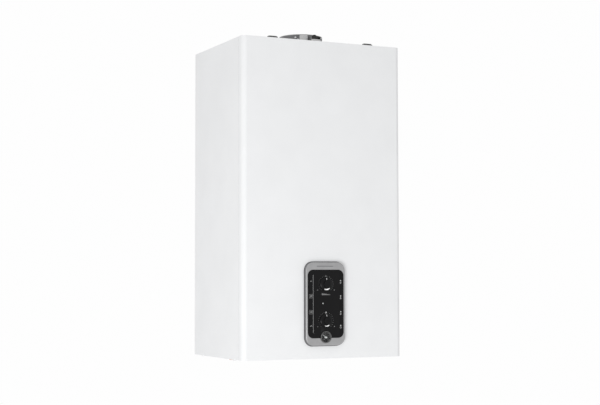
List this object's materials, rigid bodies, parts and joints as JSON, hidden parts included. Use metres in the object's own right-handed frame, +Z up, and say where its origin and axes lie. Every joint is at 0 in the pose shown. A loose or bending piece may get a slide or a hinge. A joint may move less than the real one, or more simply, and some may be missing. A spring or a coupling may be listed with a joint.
{
  "type": "wall-hung boiler",
  "caption": "Wall-hung gas boiler: tall white sheet-steel casing, swing-out front cover, round flue collar on top and a raised control panel with knobs, buttons and a pressure gauge.",
  "frame": {"origin": "on the wall, midway between the wall bracket's two screws", "axes": "+X to the right seen from the front, +Y into the wall, +Z up"},
  "size_m": [0.4, 0.3085, 0.7575],
  "materials": {
    "white_paint": "satin white powder coat",
    "zinc_sheet": "zinc-plated sheet",
    "dark_steel": "dark phosphated steel",
    "cast_aluminium": "as cast",
    "aluminised_steel": "aluminised sheet",
    "bright_steel": "stainless",
    "copper": "drawn copper tube",
    "brass": "turned brass",
    "black_rubber": "matt",
    "black_plastic": "fine grain",
    "grey_plastic": "fine grain",
    "pale_plastic": "plain",
    "red_plastic": "plain",
    "red_paint": "gloss red",
    "blue_paint": "satin",
    "silver_plastic": "silver lacquer",
    "gloss_black": "polished black",
    "knob_black": "polished black",
    "fibre_board": "ceramic fibre board",
    "white_ceramic": "glazed",
    "green_board": "printed circuit board",
    "clear_plastic": "clear",
    "light_rod": "frosted",
    "needle_white": "plain",
    "composite": "glass-filled"
  },
  "bodies": {
    "casing": {"wall_bracket": "zinc_sheet", "rear_frame": "zinc_sheet", "left_side_panel": "white_paint", "right_side_panel": "white_paint", "top_panel": "white_paint", "bottom_plate": "white_paint", "cover_hooks": "dark_steel", "casing_screws": "bright_steel", "flue_collar": "cast_aluminium", "collar_seal": "black_rubber", "sampling_caps": "black_rubber", "air_inlet_covers": "white_paint", "chamber_box": "aluminised_steel", "chamber_cover": "aluminised_steel", "chamber_insulation": "fibre_board", "burner": "bright_steel", "gas_manifold": "brass", "electrodes": "white_ceramic", "heat_exchanger": "copper", "flue_hood": "aluminised_steel", "fan_housing": "aluminised_steel", "fan_motor": "dark_steel", "air_pressure_switch": "pale_plastic", "expansion_vessel": "red_paint", "water_pipes": "copper", "gas_pipe": "brass", "flow_block": "composite", "return_block": "composite", "plate_heat_exchanger": "bright_steel", "pump_body": "composite", "pump_motor": "blue_paint", "air_vent": "brass", "relief_valve": "brass", "diverter_motor": "grey_plastic", "gas_valve": "cast_aluminium", "pipe_tails": "copper", "pipe_nuts": "brass", "control_box": "grey_plastic", "power_board": "green_board", "display_board": "green_board", "panel_housing": "silver_plastic", "fascia": "gloss_black", "indicator_lights": "light_rod", "gauge_case": "grey_plastic", "gauge_lens": "clear_plastic", "cable_gland": "black_plastic"},
    "cover": {"front_cover": "white_paint", "cover_screws": "bright_steel"},
    "heating_selector": {"heating_knob": "knob_black"},
    "hot_water_selector": {"hot_water_knob": "knob_black"},
    "power_key": {"power_button": "gloss_black"},
    "reset_key": {"reset_button": "gloss_black"},
    "mode_key": {"mode_button": "gloss_black"},
    "comfort_key": {"comfort_button": "gloss_black"},
    "needle": {"gauge_needle": "needle_white"},
    "fan_rotor": {"fan_wheel": "zinc_sheet"},
    "pump_rotor": {"pump_wheel": "pale_plastic"},
    "relief_handle": {"relief_knob": "red_plastic"},
    "filling_handle": {"filling_knob": "black_plastic"},
    "diverter_rod": {"diverter_spindle": "bright_steel"}
  },
  "joints": [
    {"name": "cover_swing", "type": "hinge", "parent": "casing", "child": "cover", "pos_m": [0, -0.268, 0.05], "axis": [-1, 0, 0], "range_deg": [0, 25]},
    {"name": "heating_turn", "type": "hinge", "parent": "casing", "child": "heating_selector", "pos_m": [0, -0.301, -0.5025], "axis": [0, 1, 0], "range_deg": [-135, 135]},
    {"name": "hot_water_turn", "type": "hinge", "parent": "casing", "child": "hot_water_selector", "pos_m": [0, -0.301, -0.5845], "axis": [0, 1, 0], "range_deg": [-135, 135]},
    {"name": "power_press", "type": "slide", "parent": "casing", "child": "power_key", "axis": [0, 1, 0], "range_m": [0, 0.001], "stiffness_N_per_m": 300, "springref_m": -0.001},
    {"name": "reset_press", "type": "slide", "parent": "casing", "child": "reset_key", "axis": [0, 1, 0], "range_m": [0, 0.001], "stiffness_N_per_m": 300, "springref_m": -0.001},
    {"name": "mode_press", "type": "slide", "parent": "casing", "child": "mode_key", "axis": [0, 1, 0], "range_m": [0, 0.001], "stiffness_N_per_m": 300, "springref_m": -0.001},
    {"name": "comfort_press", "type": "slide", "parent": "casing", "child": "comfort_key", "axis": [0, 1, 0], "range_m": [0, 0.001], "stiffness_N_per_m": 300, "springref_m": -0.001},
    {"name": "needle_turn", "type": "hinge", "parent": "casing", "child": "needle", "pos_m": [0, -0.3, -0.6215], "axis": [0, 1, 0], "range_deg": [-81, 189], "stiffness_Nm_per_rad": 0.0002},
    {"name": "fan_spin", "type": "hinge", "parent": "casing", "child": "fan_rotor", "pos_m": [0.02, -0.17, -0.01], "axis": [0, 1, 0], "continuous": true},
    {"name": "pump_spin", "type": "hinge", "parent": "casing", "child": "pump_rotor", "pos_m": [0.11, -0.08, -0.507], "axis": [0, 1, 0], "continuous": true},
    {"name": "relief_turn", "type": "hinge", "parent": "casing", "child": "relief_handle", "pos_m": [0.174, -0.095, -0.6], "axis": [1, 0, 0], "range_deg": [0, 90]},
    {"name": "filling_turn", "type": "hinge", "parent": "casing", "child": "filling_handle", "pos_m": [0.125, -0.12, -0.6], "axis": [0, 1, 0], "range_deg": [0, 180]},
    {"name": "diverter_slide", "type": "slide", "parent": "casing", "child": "diverter_rod", "axis": [0, 0, 1], "range_m": [-0.008, 0]}
  ]
}
